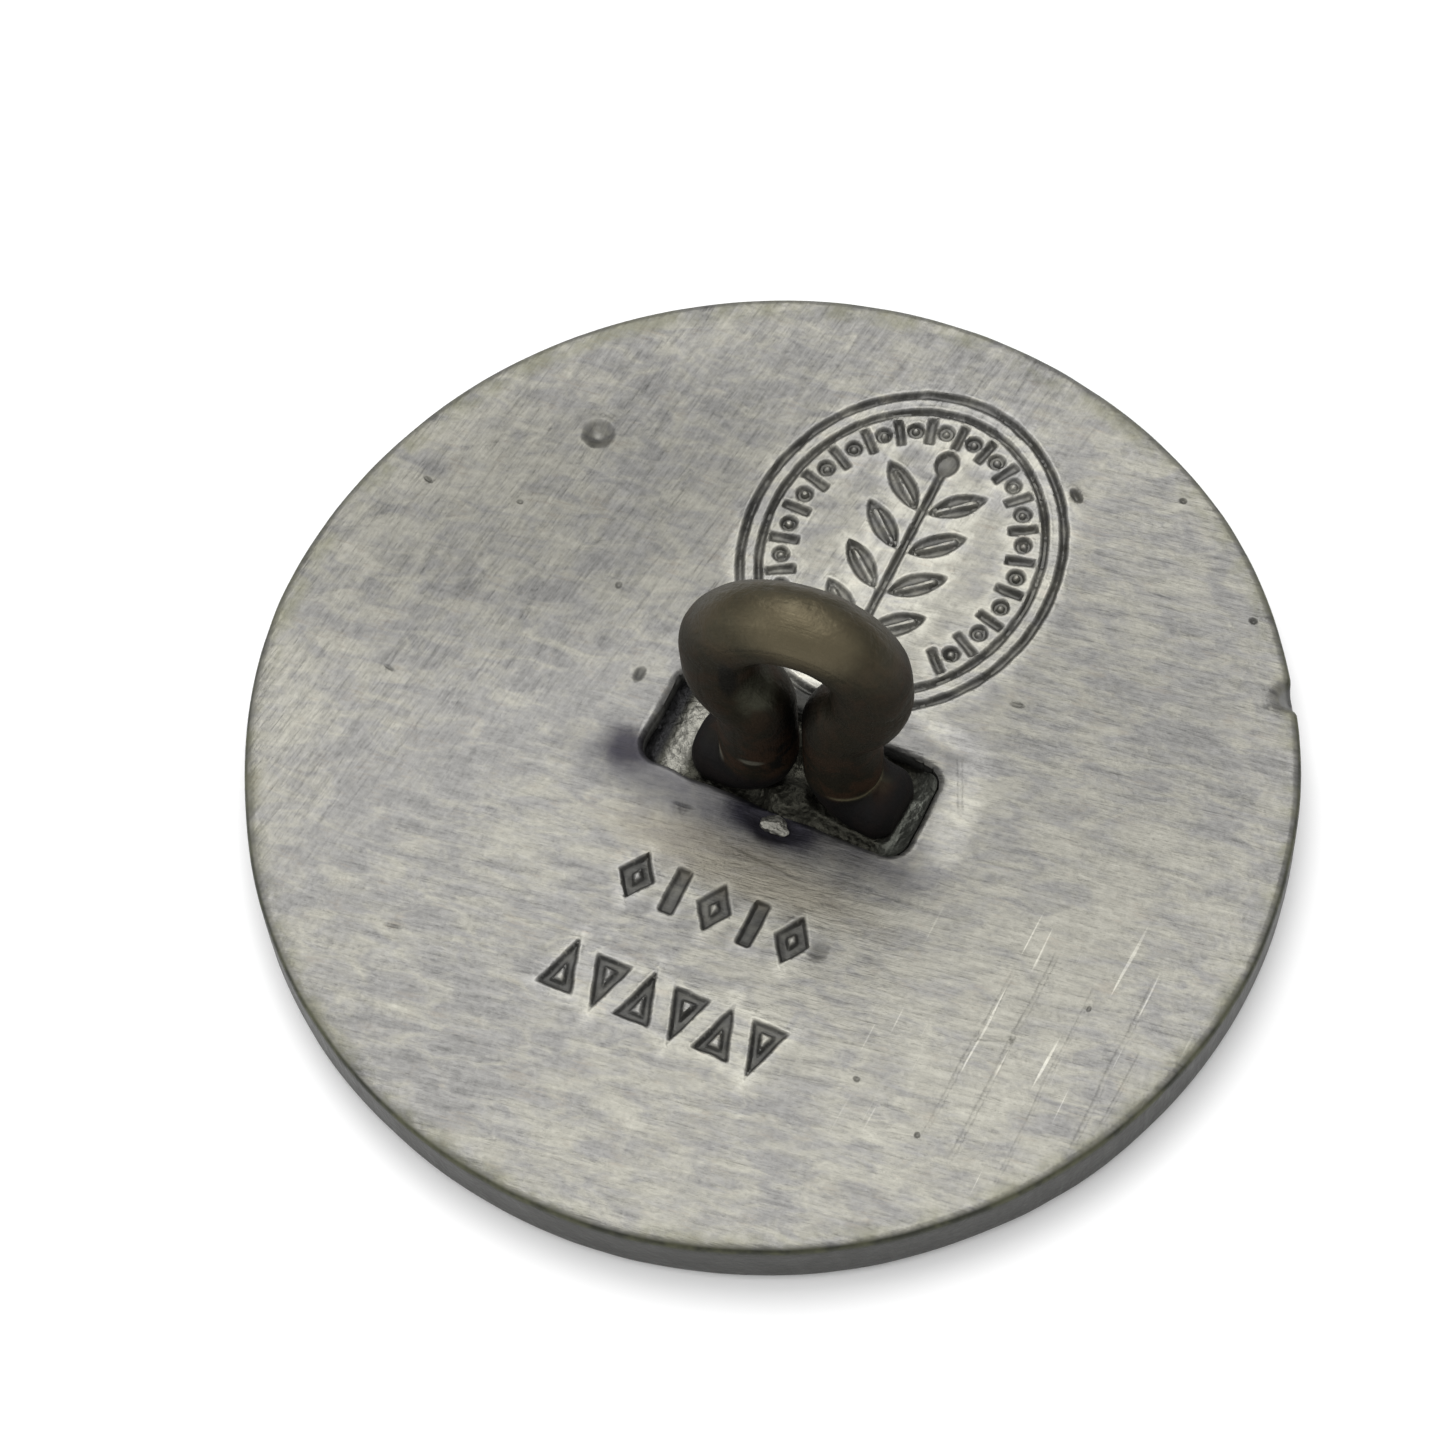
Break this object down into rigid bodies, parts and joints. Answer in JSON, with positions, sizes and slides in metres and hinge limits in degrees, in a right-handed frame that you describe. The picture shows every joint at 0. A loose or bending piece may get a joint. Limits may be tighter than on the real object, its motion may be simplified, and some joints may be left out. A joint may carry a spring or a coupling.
{
  "type": "shank button",
  "caption": "Round cast metal sew-on button lying face down, with a bent wire loop shank soldered into a pocket in its stamped back.",
  "frame": {"origin": "centre of the plane that the button's front rim stands on, straight under the middle of the disc", "axes": "+Z out of the back of the disc, towards the wire loop; +X along the pocket that holds the loop's feet; +Y towards the oval mark"},
  "size_m": [0.028, 0.028, 0.0112],
  "materials": {
    "cast_pewter": "grey cast pewter, brushed on the back, worn and slightly tarnished",
    "aged_brass_wire": "drawn brass wire, darkened to brown, rubbed lighter on top",
    "solder": "soft solder, dull with bright spots"
  },
  "bodies": {
    "root": {"button_disc": "cast_pewter", "shank_wire": "aged_brass_wire", "solder_bed": "solder", "solder_spill": "solder"}
  },
  "joints": []
}
